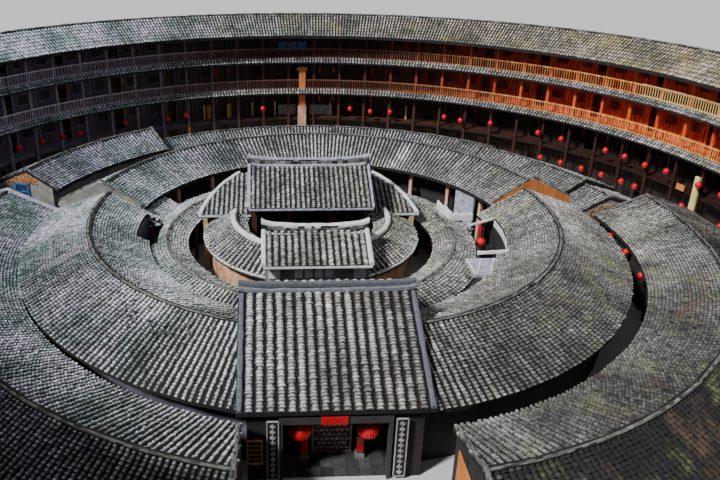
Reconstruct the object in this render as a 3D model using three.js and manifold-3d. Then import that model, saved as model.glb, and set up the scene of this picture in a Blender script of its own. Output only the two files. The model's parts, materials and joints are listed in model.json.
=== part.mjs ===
// A four-ring tulou roundhouse at 1:2 scale, seen from its origin on the ground at the centre of the rings.
// +Z is up and the main gate faces -Y. Dimensions are metres of the real house; solids come out in millimetres.
import * as THREE from "three";
import { mergeVertices } from "three/addons/utils/BufferGeometryUtils.js";
import Module from "manifold-3d";

const wasm = await Module();
wasm.setup();

// Scale, clearance and fineness
const MM_PER_METRE = 500; // 1:2
const GAP = 0.0006; // 0.3 mm between touching pieces of the model
const GAP_ANGLE = 0.001; // degrees, the same clearance between neighbouring sectors
const FINE = 72; // sides of the outer ring, one for each bay
const COARSE = 48; // sides of the inner rings
const BAY = 360 / FINE;
const FAR = 60; // beyond every piece

// Outer ring
const WALL_OUT_FOOT = 36.5;
const WALL_OUT_TOP = 36.2;
const WALL_IN = 35.0;
const GATE = { width: 2.4, height: 2.8 };
const FLOORS = [3.15, 6.3, 9.6]; // tops of floors 2, 3 and 4
const FLOOR_THICK = 0.22;
const FLOOR_IN = 31.4;
const FRONT = { distance: 32.7, thick: 0.14, sides: 36, top: 3.08 }; // walls of the rooms, a door to each flat side
const FRONT_DOOR = { width: 1.0, height: 2.15, sill: 0.12 };
const POST = { wide: 0.24, deep: 0.24 };
const PLATE_DEEP = 0.3;
const PLATE_LIP = 0.08; // the plate is wider than the posts on both sides
const RAIL = { height: 1.05, thick: 0.12, deep: 0.1 };
const SKIRT = { eave: 30.4, drop: 0.32, rise: 0.12, thick: 0.12 };
const BAND = { wide: 0.3, high: 0.08 }; // masonry along a ridge
const MAIN_ROOF = { in: [29.9, 12.1], ridge: [33.2, 13.86], out: [38.2, 11.4], thick: 0.25, band: BAND };

// Ring 2
const RING2_WALL = 0.3;
const RING2_NEAR = { in: [20.3, 3.5], ridge: [24.2, 4.8], out: [28.0, 3.4], thick: 0.2, band: BAND, walls: [20.9, 27.3] };
const RING2_RAISED = { in: [20.4, 4.4], ridge: [23.0, 5.7], out: [26.6, 4.1], thick: 0.2, band: BAND, walls: [20.9, 26.0] };
const RING2_MIDDLE = { in: [20.4, 3.4], ridge: [23.2, 4.4], out: [26.6, 3.2], thick: 0.2, band: BAND, walls: [20.9, 26.0] };
const RING2_RIGHT = { in: [20.4, 3.3], ridge: [23.0, 4.25], out: [26.2, 3.1], thick: 0.2, band: BAND, walls: [20.9, 25.6] };
const RING2_LOW = { in: [20.4, 2.95], ridge: [23.0, 3.9], out: [26.2, 2.8], thick: 0.2, band: BAND, walls: [20.9, 25.6] };
const RING2_ENDS = { raised: [-72, -37.5], right: [43, 70], low: 77.5 }; // azimuths of the back sections
const RING2_STEP = { overlap: 0.5, strip: 0.3 }; // degrees, where the right section drops to its low end
const RING2_NEAR_FROM = { left: 77, right: 82.5 };
const RING2_NEAR_X = { left: 0.9, right: 0 }; // the near left section lies closer to ring 3
const RING2_GATE = { half: 4.5, middle: -0.4 };

// Ring 3
const RING3_NEAR = { in: [11.6, 3.7], ridge: [15.2, 5.4], out: [19.4, 3.7], thick: 0.2, band: BAND, walls: [12.3, 18.4] };
const RING3_FAR = { in: [12.8, 4.25], ridge: [15.8, 5.8], out: [19.2, 4.05], thick: 0.2, band: BAND, walls: [14.4, 18.4] };
const RING3_STEP = 78; // azimuth where the near sections meet the far one
const PORCH = { radius: 13.4, beam: 0.24, post: 0.26, step: 15 };
const WELL_LEFT = { span: [-97, -80], in: 11.1, out: 12.45 };
const WELL_RIGHT = { span: [85, 110], in: 10.3, out: 12.2 };

// The halls and the corridor stand a little to the left of the outer rings' centre
const HALLS_X = -0.8;

// Gate hall
const HALL_BAND = { wide: 0.42, high: 0.3 };
const GATE_HALL = {
  half: 4.35,
  side: 3.9,
  wall: 0.3,
  front: [-19.2, 3.95],
  ridge: [-13.4, 6.6],
  back: [-9.3, 4.75],
  thick: 0.22,
  band: { wide: 0.44, high: 0.14 },
  facade: -18.95,
  rear: -10.0,
};
const GATE_HALL_DOOR = { width: 5.0, height: 3.2 };
const SCREEN = { width: 1.9, height: 2.5, thick: 0.12, y: -17.2 };
const LANTERN = { radius: 0.5, height: 0.85, x: 1.55, y: -18.3, hook: 0.05, drop: 1.5 };

// Ring 4, the corridor
const CORRIDOR = { in: [8.3, 3.2], ridge: [9.6, 3.7], out: [11.4, 3.15], thick: 0.16, band: { wide: 0.24, high: 0.06 } };
const CORRIDOR_WALL = [10.0, 10.2];
const CORRIDOR_POST = { radius: 8.75, beam: 0.18, post: 0.2, step: 15 };
const FLAT_ROOF = { x: [8.6, 11.2], y: [-6.9, -4.7], z: [3.62, 3.8] };

// Centre
const WING_BAND = { wide: 0.3, high: 0.14 };
const WING = { in: [4.3, 4.2], ridge: [5.2, 4.75], out: [7.2, 3.6], thick: 0.18, band: WING_BAND, walls: [6.4, 6.7], from: 78 };
const FRONT_HALL = { half: 3.3, front: [-7.2, 4.7], ridge: [-4.4, 5.8], back: [-1.9, 4.8], thick: 0.2, band: HALL_BAND };
const FRONT_HALL_WALLS = { y: [-6.5, -2.5], half: 3.1, thick: 0.3, door: [3.6, 3.3], back: [5.0, 3.6] };
const BACK_HALL = { half: 4.25, front: [-0.6, 5.6], ridge: [3.0, 7.55], back: [6.6, 5.65], thick: 0.22, band: HALL_BAND };
const BACK_HALL_WALLS = { y: [0.9, 6.0], half: 4.0, thick: 0.3 };
const BACK_HALL_FRAME = { y: 0.2, post: 0.32, x: [-3.8, -1.4, 1.4, 3.8], beam: 0.34 };
const BACK_WING = { radius: 8.0, foot: 1.6, end: 6.0, low: 4.2, slope: 0.35, thick: 0.18, walls: [7.3, 7.6] };

// Doors of the ring houses
const DOOR = { width: 1.1, height: 2.1 };
const WINDOW = { width: 1.1, height: 1.2, sill: 3.4 };

// Solids

function solid(geometry) {
  const bare = geometry.index ? geometry.clone() : geometry;
  bare.deleteAttribute("normal");
  bare.deleteAttribute("uv");
  bare.scale(MM_PER_METRE, MM_PER_METRE, MM_PER_METRE);
  const merged = mergeVertices(bare, 1e-3);
  const triVerts = new Uint32Array(merged.index.array);
  const build = () =>
    new wasm.Manifold(new wasm.Mesh({ numProp: 3, vertProperties: merged.attributes.position.array, triVerts }));
  const made = build();
  if (made.volume() > 0) return made;
  for (let i = 0; i < triVerts.length; i += 3) {
    [triVerts[i + 1], triVerts[i + 2]] = [triVerts[i + 2], triVerts[i + 1]];
  }
  return build();
}

// A closed outline of [radius, height] points, turned about Z. A cutter starts half a side further round,
// so that its corners never meet the corners of what it cuts.
function ring(profile, sides = COARSE, start = 0) {
  const points = [...profile, profile[0]].map(([r, z]) => new THREE.Vector2(r, z));
  return solid(new THREE.LatheGeometry(points, sides, start).rotateX(Math.PI / 2));
}

const cutterRing = (profile) => ring(profile, COARSE, Math.PI / COARSE);

function box(x0, x1, y0, y1, z0, z1) {
  const made = new THREE.BoxGeometry(x1 - x0, y1 - y0, z1 - z0);
  return solid(made.translate((x0 + x1) / 2, (y0 + y1) / 2, (z0 + z1) / 2));
}

// A closed outline of [y, z] points, extruded along X from -half to half.
function prismX(outline, half) {
  const shape = new THREE.Shape(outline.map(([y, z]) => new THREE.Vector2(y, z)));
  const made = new THREE.ExtrudeGeometry(shape, { depth: 2 * half, bevelEnabled: false });
  return solid(made.translate(0, 0, -half).applyMatrix4(new THREE.Matrix4().set(
    0, 0, 1, 0,
    1, 0, 0, 0,
    0, 1, 0, 0,
    0, 0, 0, 1,
  )));
}

// Azimuths are degrees from +Y towards +X, so the gate is at 180.
function direction(azimuth) {
  const a = THREE.MathUtils.degToRad(azimuth);
  return [Math.sin(a), Math.cos(a)];
}

// Everything between two azimuths, up to 180 degrees apart.
function wedge(from, to) {
  const steps = Math.ceil((to - from) / 45);
  const points = [new THREE.Vector2(0, 0)];
  for (let i = 0; i <= steps; i += 1) {
    const [x, y] = direction(from + ((to - from) * i) / steps);
    points.push(new THREE.Vector2(x * FAR, y * FAR));
  }
  const made = new THREE.ExtrudeGeometry(new THREE.Shape(points), { depth: 2 * FAR, bevelEnabled: false });
  return solid(made.translate(0, 0, -FAR));
}

const slabX = (half, x = 0) => box(x - half, x + half, -FAR, 0, -FAR, FAR);

function sector(profile, from, to, sides = COARSE) {
  return ring(profile, sides).intersect(wedge(from + GAP_ANGLE, to - GAP_ANGLE));
}

// A box of a given width round an azimuth, between two radii and two heights.
function spoke(azimuth, width, r0, r1, z0, z1) {
  const made = new THREE.BoxGeometry(width, r1 - r0, z1 - z0);
  made.translate(0, (r0 + r1) / 2, (z0 + z1) / 2);
  return solid(made.rotateZ(-THREE.MathUtils.degToRad(azimuth)));
}

// Roofs with two slopes, as [position, height] of inner eave, ridge and outer eave

// with a band of masonry along the ridge
function roofProfile({ in: low, ridge, out, thick, band }) {
  const lower = ([r, z]) => [r, z - thick];
  const [r, z] = ridge;
  const half = band.wide / 2;
  const inner = [r - half, z - (half * (z - low[1])) / (r - low[0])];
  const outer = [r + half, z - (half * (z - out[1])) / (out[0] - r)];
  const top = z + band.high;
  return [low, inner, [inner[0], top], [outer[0], top], outer, out, lower(out), lower(ridge), lower(low)];
}

function under(roof, position) {
  const [a, b] = position < roof.ridge[0] ? [roof.in, roof.ridge] : [roof.ridge, roof.out];
  const share = (position - a[0]) / (b[0] - a[0]);
  return a[1] + share * (b[1] - a[1]) - roof.thick - GAP;
}

// The outline of a house below its roof, between two positions
function bodyProfile(roof, from, to) {
  const top = [[to, under(roof, to)]];
  if (from < roof.ridge[0] && to > roof.ridge[0]) top.push([roof.ridge[0], under(roof, roof.ridge[0])]);
  return [[from, 0], [to, 0], ...top, [from, under(roof, from)]];
}

// Walls of a ring house between two azimuths: two round walls, gables at the ends, doors in the inner wall.
// A clip is the half width and the middle of the gap that the gate side leaves.
function ringHouse(roof, from, to, { clip, doors = [] } = {}) {
  const [rIn, rOut] = roof.walls;
  const inset = THREE.MathUtils.radToDeg(RING2_WALL / ((rIn + rOut) / 2));
  const room = [rIn + RING2_WALL, rOut - RING2_WALL];
  const roomProfile = [[room[0], -1], [room[1], -1], [room[1], FAR], [room[0], FAR]];
  let body = sector(bodyProfile(roof, rIn, rOut), from, to);
  const left = from < 0;
  const roomFrom = clip && left ? from : from + inset;
  const roomTo = clip && !left ? to : to - inset;
  let hollow = cutterRing(roomProfile).intersect(wedge(roomFrom, roomTo));
  if (clip) {
    const [half, middle] = clip;
    body = body.subtract(slabX(half, middle));
    hollow = hollow.subtract(slabX(half + RING2_WALL, middle));
  }
  body = body.subtract(hollow);
  for (const azimuth of doors) {
    body = body.subtract(spoke(azimuth, DOOR.width, rIn - 1, rIn + 1, -1, DOOR.height));
  }
  return body;
}

function ringRoof(roof, from, to, clip) {
  const made = sector(roofProfile(roof), from, to);
  return clip ? made.subtract(slabX(...clip)) : made;
}

// Scene graph

const house = new THREE.Group();
const halls = new THREE.Group();
halls.position.x = HALLS_X * MM_PER_METRE;
const nearLeft = new THREE.Group();
nearLeft.position.x = RING2_NEAR_X.left * MM_PER_METRE;
house.add(halls, nearLeft);

const EARTH = { color: 0xc9a26b, roughness: 0.95 };
const PLASTER = { color: 0x9a9488, roughness: 0.95 };
const TIMBER = { color: 0x5a2a18, roughness: 0.8 };
const TILE = { color: 0x55585a, roughness: 0.9 };
const RED = { color: 0xb3140f, roughness: 0.7 };
const WHITE = { color: 0xdedbd2, roughness: 0.9 };

function add(name, made, look, parent = house) {
  const { numProp, vertProperties, triVerts } = made.getMesh();
  const geometry = new THREE.BufferGeometry();
  const positions = new Float32Array((vertProperties.length / numProp) * 3);
  for (let i = 0; i < positions.length / 3; i += 1) {
    positions.set(vertProperties.subarray(i * numProp, i * numProp + 3), i * 3);
  }
  geometry.setAttribute("position", new THREE.BufferAttribute(positions, 3));
  geometry.setIndex(new THREE.BufferAttribute(new Uint32Array(triVerts), 1));
  geometry.computeVertexNormals();
  const mesh = new THREE.Mesh(geometry, new THREE.MeshStandardMaterial({ ...look, metalness: 0 }));
  mesh.name = name;
  parent.add(mesh);
}

// Outer ring

const flat = Math.cos(THREE.MathUtils.degToRad(BAY / 2)); // a side's distance from the centre, for radius 1

const gateway = () => box(-GATE.width / 2, GATE.width / 2, -FAR, 0, -1, GATE.height);

function outerWall() {
  const profile = [
    [WALL_IN, 0],
    [WALL_OUT_FOOT, 0],
    [WALL_OUT_TOP, under(MAIN_ROOF, WALL_OUT_TOP)],
    [WALL_IN, under(MAIN_ROOF, WALL_IN)],
  ];
  const whole = ring(profile, FINE);
  const half = GATE.width / 2;
  const beside = whole.subtract(slabX(half));
  add("outer_wall_left", beside.intersect(wedge(-180 + GAP_ANGLE, -GAP_ANGLE)), EARTH);
  add("outer_wall_right", beside.intersect(wedge(GAP_ANGLE, 180 - GAP_ANGLE)), EARTH);
  add("outer_wall_over_gate", whole.intersect(box(-half + GAP, half - GAP, -FAR, 0, GATE.height, FAR)), EARTH);
}

function floors() {
  const outer = WALL_IN - GAP;
  FLOORS.forEach((top, index) => {
    const base = top - FLOOR_THICK;
    const floor = ring([[FLOOR_IN, base], [outer, base], [outer, top], [FLOOR_IN, top]], FINE);
    add(`floor_${index + 2}`, floor, TIMBER);
  });
}

// The timber walls between gallery and rooms, one storey high each; the top one stays open under the roof.
function fronts() {
  const { distance, thick, sides } = FRONT;
  const corner = Math.cos(Math.PI / sides);
  const [inner, outer] = [distance / corner, (distance + thick) / corner];
  const ceilings = [...FLOORS.map((top) => top - FLOOR_THICK), FLOORS[2] + FRONT.top];
  ceilings.forEach((ceiling, index) => {
    const floor = index === 0 ? 0 : FLOORS[index - 1] + GAP;
    const top = ceiling - GAP;
    let front = ring([[inner, floor], [outer, floor], [outer, top], [inner, top]], sides);
    const sill = floor + FRONT_DOOR.sill;
    for (let i = 0; i < sides; i += 1) {
      const azimuth = ((i + 0.5) * 360) / sides;
      const door = spoke(azimuth, FRONT_DOOR.width, inner - 1, outer + 1, sill, sill + FRONT_DOOR.height);
      front = front.subtract(door);
    }
    if (index === 0) front = front.subtract(gateway());
    add(`room_fronts_${index + 1}`, front, TIMBER);
  });
}

const postOut = FLOOR_IN * flat - GAP;
const postIn = postOut - POST.deep;

function galleryPosts() {
  const plateBase = under(MAIN_ROOF, postIn) - PLATE_DEEP;
  const [from, to] = [postIn - PLATE_LIP, postOut + PLATE_LIP];
  const profile = [[from, plateBase], [to, plateBase], [to, under(MAIN_ROOF, to)], [from, under(MAIN_ROOF, from)]];
  const quarter = FINE / 4;
  ["back_right", "front_right", "front_left", "back_left"].forEach((place, part) => {
    let posts = sector(profile, part * 90, (part + 1) * 90, FINE);
    for (let i = part * quarter; i < (part + 1) * quarter; i += 1) {
      const azimuth = (i + 0.5) * BAY;
      posts = posts.add(spoke(azimuth, POST.wide, postIn, postOut, 0, plateBase + PLATE_DEEP / 2));
    }
    add(`gallery_posts_${place}`, posts, TIMBER);
  });
}

function railsAndSkirts() {
  const face = postIn / flat - GAP;
  [1, 2].forEach((index) => {
    const floor = FLOORS[index];
    const rail = floor + RAIL.height;
    const inner = face - RAIL.thick;
    const railProfile = [[inner, rail - RAIL.deep], [face, rail - RAIL.deep], [face, rail], [inner, rail]];
    add(`gallery_rail_${index + 2}`, ring(railProfile, FINE), TIMBER);
    const low = floor - SKIRT.drop;
    const high = floor + SKIRT.rise;
    const skirt = [[SKIRT.eave, low - SKIRT.thick], [face, high - SKIRT.thick], [face, high], [SKIRT.eave, low]];
    add(`skirt_roof_${index + 2}`, ring(skirt, FINE), TILE);
  });
}

function mainRoof() {
  for (const [side, from] of [["left", -180], ["back", -60], ["right", 60]]) {
    add(`main_roof_${side}`, sector(roofProfile(MAIN_ROOF), from, from + 120, FINE), TILE);
  }
}

// Rings 2 and 3

const SIDES = [["left", -1], ["right", 1]];

// Azimuths from..to on the right side, mirrored for the left.
const span = (sign, from, to) => (sign > 0 ? [from, to] : [-to, -from]);

function ring2() {
  for (const [side, sign] of SIDES) {
    const parent = side === "left" ? nearLeft : house;
    const near = span(sign, RING2_NEAR_FROM[side], 180);
    const doors = [90, 105, 120, 135, 150].map((a) => a * sign);
    const clip = [RING2_GATE.half, RING2_GATE.middle - RING2_NEAR_X[side]];
    add(`ring2_near_${side}_walls`, ringHouse(RING2_NEAR, ...near, { clip, doors }), PLASTER, parent);
    add(`ring2_near_${side}_roof`, ringRoof(RING2_NEAR, ...near, clip), TILE, parent);
  }
  const { raised, right } = RING2_ENDS;
  const raisedWalls = ringHouse(RING2_RAISED, ...raised, { doors: [-60, -45] }).subtract(gableWindow());
  add("ring2_raised_left_walls", raisedWalls, PLASTER);
  add("ring2_raised_left_roof", ringRoof(RING2_RAISED, ...raised), TILE);
  const middle = [raised[1], right[0]];
  add("ring2_middle_walls", ringHouse(RING2_MIDDLE, ...middle, { doors: [-22.5, -7.5, 7.5, 22.5] }), PLASTER);
  add("ring2_middle_roof", ringRoof(RING2_MIDDLE, ...middle), TILE);
  ring2BackRight();
}

// The back right section drops by a step to its low end, a strip of gable closing the step between the two roofs.
function ring2BackRight() {
  const { right: [from, step], low: to } = RING2_ENDS;
  const { overlap, strip } = RING2_STEP;
  const lowWalls = ringHouse(RING2_LOW, step - overlap, to);
  add("ring2_back_right_walls", ringHouse(RING2_RIGHT, from, step, { doors: [50, 62] }).add(lowWalls), PLASTER);
  const stripProfile = [...roofProfile(RING2_RIGHT).slice(0, 6), ...roofProfile(RING2_LOW).slice(6)];
  const roof = ringRoof(RING2_RIGHT, from, step + strip)
    .add(sector(stripProfile, step, step + strip))
    .add(ringRoof(RING2_LOW, step, to));
  add("ring2_back_right_roof", roof, TILE);
}

// The window in the gable of the raised left section, which faces the gate side
function gableWindow() {
  const made = new THREE.BoxGeometry(WINDOW.width, 2, WINDOW.height);
  const middle = (RING2_RAISED.walls[0] + RING2_RAISED.walls[1]) / 2;
  made.translate(-middle, 0, WINDOW.sill + WINDOW.height / 2);
  return solid(made.rotateZ(-THREE.MathUtils.degToRad(90 + RING2_ENDS.raised[0])));
}

function lightWell({ span: [from, to], in: inner, out: outer }) {
  const profile = [[inner, 2], [outer, 2], [outer, FAR], [inner, FAR]];
  return cutterRing(profile).intersect(wedge(from, to));
}

const lightWells = () => lightWell(WELL_LEFT).add(lightWell(WELL_RIGHT));

function ring3() {
  const wells = lightWells();
  const clip = [GATE_HALL.side + GAP, HALLS_X];
  for (const [side, sign] of SIDES) {
    const near = span(sign, RING3_STEP, 180);
    const doors = [90, 112.5, 135].map((a) => a * sign);
    add(`ring3_near_${side}_walls`, ringHouse(RING3_NEAR, ...near, { clip, doors }), PLASTER);
    add(`ring3_near_${side}_roof`, ringRoof(RING3_NEAR, ...near, clip).subtract(wells), TILE);
  }
  const far = [-RING3_STEP, RING3_STEP];
  const doors = [-60, -37.5, -15, 0, 15, 37.5, 60];
  add("ring3_far_walls", ringHouse(RING3_FAR, ...far, { doors }), PLASTER);
  add("ring3_far_roof", ringRoof(RING3_FAR, ...far), TILE);
  add("ring3_porch_frame", porchFrame(), TIMBER);
}

// A round beam below a roof, on posts.
function beamOnPosts(roof, radius, beam, post, azimuths) {
  const top = [under(roof, radius), under(roof, radius + beam)];
  const base = Math.min(...top) - beam;
  const outer = radius + beam;
  let frame = ring([[radius, base], [outer, base], [outer, top[1]], [radius, top[0]]]);
  for (const azimuth of azimuths) {
    const middle = radius + beam / 2;
    frame = frame.add(spoke(azimuth, post, middle - post / 2, middle + post / 2, 0, base + beam / 2));
  }
  return frame;
}

function porchFrame() {
  const azimuths = [];
  for (let a = -67.5; a <= 67.5; a += PORCH.step) azimuths.push(a);
  const frame = beamOnPosts(RING3_FAR, PORCH.radius, PORCH.beam, PORCH.post, azimuths);
  return frame.intersect(wedge(-RING3_STEP + GAP_ANGLE, RING3_STEP - GAP_ANGLE));
}

// Halls with a ridge along X

const asRoof = ({ front, ridge, back, thick, band }) => ({ in: front, ridge, out: back, thick, band });

const hallRoof = (hall) => prismX(roofProfile(asRoof(hall)), hall.half);

// A rectangular hall below its roof, hollow and open below.
function hallBody(hall, y, half, thick) {
  const body = prismX(bodyProfile(asRoof(hall), y[0], y[1]), half);
  return body.subtract(box(-half + thick, half - thick, y[0] + thick, y[1] - thick, -1, FAR));
}

function doorwayY(y, width, height) {
  return box(-width / 2, width / 2, y - 0.5, y + 0.5, -1, height);
}

function gateHall() {
  const { facade, rear, side, wall } = GATE_HALL;
  let body = hallBody(GATE_HALL, [facade, rear], side, wall);
  body = body.subtract(doorwayY(facade, GATE_HALL_DOOR.width, GATE_HALL_DOOR.height));
  body = body.subtract(doorwayY(rear, GATE_HALL_DOOR.width, GATE_HALL_DOOR.height));
  add("gate_hall_walls", body, PLASTER, halls);
  add("gate_hall_roof", hallRoof(GATE_HALL), TILE, halls);
  const { width, height, thick, y } = SCREEN;
  const screen = box(-width / 2, width / 2, y - thick / 2, y + thick / 2, 0, height);
  add("gate_hall_screen", screen, TIMBER, halls);
  const eaveUnder = under(asRoof(GATE_HALL), LANTERN.y - LANTERN.hook);
  for (const [name, sign] of SIDES) {
    const lantern = new THREE.LatheGeometry(lanternProfile(), 12).rotateX(Math.PI / 2);
    lantern.translate(sign * LANTERN.x, LANTERN.y, eaveUnder - GAP);
    add(`gate_lantern_${name}`, solid(lantern), RED, halls);
  }
}

// A round lantern that hangs from its hook at height 0.
function lanternProfile() {
  const { drop } = LANTERN;
  const points = [[0, 0], [LANTERN.hook, 0], [LANTERN.hook, -drop]];
  const steps = 6;
  for (let i = 1; i < steps; i += 1) {
    const a = (Math.PI * i) / steps;
    const z = -drop - (LANTERN.height / 2) * (1 - Math.cos(a));
    points.push([LANTERN.hook + (LANTERN.radius - LANTERN.hook) * Math.sin(a), z]);
  }
  points.push([LANTERN.hook, -drop - LANTERN.height], [0, -drop - LANTERN.height]);
  return points.map(([r, z]) => new THREE.Vector2(r, z));
}

// Ring 4

function corridor() {
  const beside = slabX(GATE_HALL.side + GAP);
  const [rIn, rOut] = CORRIDOR_WALL;
  const wells = lightWells().translate([-HALLS_X * MM_PER_METRE, 0, 0]);
  let wall = ring(bodyProfile(CORRIDOR, rIn, rOut)).subtract(beside);
  for (const azimuth of [-120, -90, -45, 0, 45, 90, 120]) {
    wall = wall.subtract(spoke(azimuth, DOOR.width, rIn - 1, rOut + 1, -1, DOOR.height));
  }
  add("corridor_wall", wall, PLASTER, halls);
  const azimuths = [];
  for (let a = -142.5; a <= 142.5; a += CORRIDOR_POST.step) azimuths.push(a);
  const { radius, beam, post } = CORRIDOR_POST;
  const frame = beamOnPosts(CORRIDOR, radius, beam, post, azimuths);
  add("corridor_posts", frame.subtract(beside), TIMBER, halls);
  add("corridor_roof", ring(roofProfile(CORRIDOR)).subtract(beside).subtract(wells), TILE, halls);
}

// A small flat roof that leans against the inner slope of ring 3, beside the right light well
function flatRoof() {
  const { in: low, ridge } = RING3_NEAR;
  const below = [[low[0] - GAP, 0], [ridge[0], 0], [ridge[0], ridge[1] + GAP], [low[0] - GAP, low[1] + GAP]];
  const slab = box(...FLAT_ROOF.x, ...FLAT_ROOF.y, ...FLAT_ROOF.z);
  add("well_flat_roof", slab.subtract(ring(below)), WHITE);
}

// Centre

function wings() {
  const clip = [FRONT_HALL_WALLS.half + GAP, 0];
  for (const [side, sign] of SIDES) {
    const reach = span(sign, WING.from, 180);
    const [rIn, rOut] = WING.walls;
    add(`wing_${side}_wall`, sector(bodyProfile(WING, rIn, rOut), ...reach).subtract(slabX(...clip)), EARTH, halls);
    add(`wing_${side}_roof`, ringRoof(WING, ...reach, clip), TILE, halls);
  }
}

function frontHall() {
  const { y, half, thick, door, back } = FRONT_HALL_WALLS;
  let body = hallBody(FRONT_HALL, y, half, thick);
  body = body.subtract(doorwayY(y[0], ...door)).subtract(doorwayY(y[1], ...back));
  add("front_hall_walls", body, PLASTER, halls);
  add("front_hall_roof", hallRoof(FRONT_HALL), TILE, halls);
}

function backHall() {
  const { y, half, thick } = BACK_HALL_WALLS;
  const body = hallBody(BACK_HALL, y, half, thick);
  const openFront = box(-half + thick, half - thick, y[0] - 1, y[0] + 1, -1, FAR);
  add("back_hall_walls", body.subtract(openFront), PLASTER, halls);
  const frame = BACK_HALL_FRAME;
  const from = frame.y - frame.post / 2;
  const to = frame.y + frame.post / 2;
  const roof = asRoof(BACK_HALL);
  const base = under(roof, from) - frame.beam;
  const profile = [[from, base], [to, base], [to, under(roof, to)], [from, under(roof, from)]];
  let made = prismX(profile, half);
  for (const x of frame.x) {
    made = made.add(box(x - frame.post / 2, x + frame.post / 2, from, to, 0, base + frame.beam / 2));
  }
  add("back_hall_frame", made, TIMBER, halls);
  add("back_hall_roof", hallRoof(BACK_HALL), TILE, halls);
}

// Lean-to roofs beside the back hall, with a round outer edge, rising away from the gate.
function backWings() {
  const { radius, foot, end, low, slope, thick, walls } = BACK_WING;
  const high = low + slope * (end - foot);
  const roofLayer = prismX([[foot, low - thick], [end, high - thick], [end, high], [foot, low]], FAR);
  const below = prismX([[foot, 0], [end, 0], [end, high - thick - GAP], [foot, low - thick - GAP]], FAR);
  const roof = ring([[1, -1], [radius, -1], [radius, FAR], [1, FAR]]).intersect(roofLayer);
  const wall = ring([[walls[0], -1], [walls[1], -1], [walls[1], FAR], [walls[0], FAR]]).intersect(below);
  const x = BACK_HALL_WALLS.half + GAP;
  for (const [side, sign] of SIDES) {
    const half = sign > 0 ? box(x, FAR, -FAR, FAR, -FAR, FAR) : box(-FAR, -x, -FAR, FAR, -FAR, FAR);
    add(`back_wing_${side}_roof`, roof.intersect(half), TILE, halls);
    add(`back_wing_${side}_wall`, wall.intersect(half), EARTH, halls);
  }
}

outerWall();
floors();
fronts();
galleryPosts();
railsAndSkirts();
mainRoof();
ring2();
ring3();
gateHall();
corridor();
flatRoof();
wings();
frontHall();
backHall();
backWings();

export default house;
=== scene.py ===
"""Looks of a four-ring tulou roundhouse, modelled at 1:2. Sizes are metres of the real house, and build()
brings every mesh to the scale of the model. +Z is up, the gate faces -Y, and azimuths are degrees from
+Y towards +X."""

import json
import math

import bpy
import numpy as np
from mathutils import Matrix, Vector


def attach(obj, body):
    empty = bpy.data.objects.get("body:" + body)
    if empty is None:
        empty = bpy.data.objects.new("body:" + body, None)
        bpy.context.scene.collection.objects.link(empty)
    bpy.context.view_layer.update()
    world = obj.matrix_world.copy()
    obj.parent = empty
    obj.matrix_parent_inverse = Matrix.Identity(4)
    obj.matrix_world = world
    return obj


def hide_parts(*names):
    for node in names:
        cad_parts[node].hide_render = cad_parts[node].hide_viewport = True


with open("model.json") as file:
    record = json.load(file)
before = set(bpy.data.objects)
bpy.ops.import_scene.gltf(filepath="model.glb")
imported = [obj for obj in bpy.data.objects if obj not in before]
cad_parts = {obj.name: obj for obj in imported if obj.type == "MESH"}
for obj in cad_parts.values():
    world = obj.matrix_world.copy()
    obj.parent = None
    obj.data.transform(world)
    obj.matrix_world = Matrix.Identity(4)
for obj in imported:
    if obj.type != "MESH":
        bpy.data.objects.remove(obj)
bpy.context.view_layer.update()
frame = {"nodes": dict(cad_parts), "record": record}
BODY = "root"
SCALE = 0.5
RNG = np.random.default_rng(7)

# Camera, in real metres and degrees
EYE = (-3.648, -43.14, 23.332)
YAW, PITCH, ROLL = 2.816, 23.37, 0.501
FOCAL_PX, FRAME_PX, SENSOR_MM = 695.94, 720, 36.0
SHIFT_PX = (60.0, -22.3)  # the photograph is cut from a larger picture with another middle
NEAREST = 20.0  # what lies closer is cut away: the side of the outer ring that the photographer stood on

# Roof lines as (position, height) of inner or front eave, ridge and outer or back eave
MAIN_ROOF = ((29.9, 12.1), (33.2, 13.86), (38.2, 11.4))
RING2_NEAR = ((20.3, 3.5), (24.2, 4.8), (28.0, 3.4))
RING2_RAISED = ((20.4, 4.4), (23.0, 5.7), (26.6, 4.1))
RING2_MIDDLE = ((20.4, 3.4), (23.2, 4.4), (26.6, 3.2))
RING2_RIGHT = ((20.4, 3.3), (23.0, 4.25), (26.2, 3.1))
RING2_LOW = ((20.4, 2.95), (23.0, 3.9), (26.2, 2.8))
RING3_NEAR = ((11.6, 3.7), (15.2, 5.4), (19.4, 3.7))
RING3_FAR = ((12.8, 4.25), (15.8, 5.8), (19.2, 4.05))
CORRIDOR = ((8.3, 3.2), (9.6, 3.7), (11.4, 3.15))
WING = ((4.3, 4.2), (5.2, 4.75), (7.2, 3.6))
GATE_HALL = ((-19.2, 3.95), (-13.4, 6.6), (-9.3, 4.75))
FRONT_HALL = ((-7.2, 4.7), (-4.4, 5.8), (-1.9, 4.8))
BACK_HALL = ((-0.6, 5.6), (3.0, 7.55), (6.6, 5.65))
BACK_WING = ((1.6, 4.2), (6.0, 5.74))
BACK_WING_RADIUS = 8.0

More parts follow.
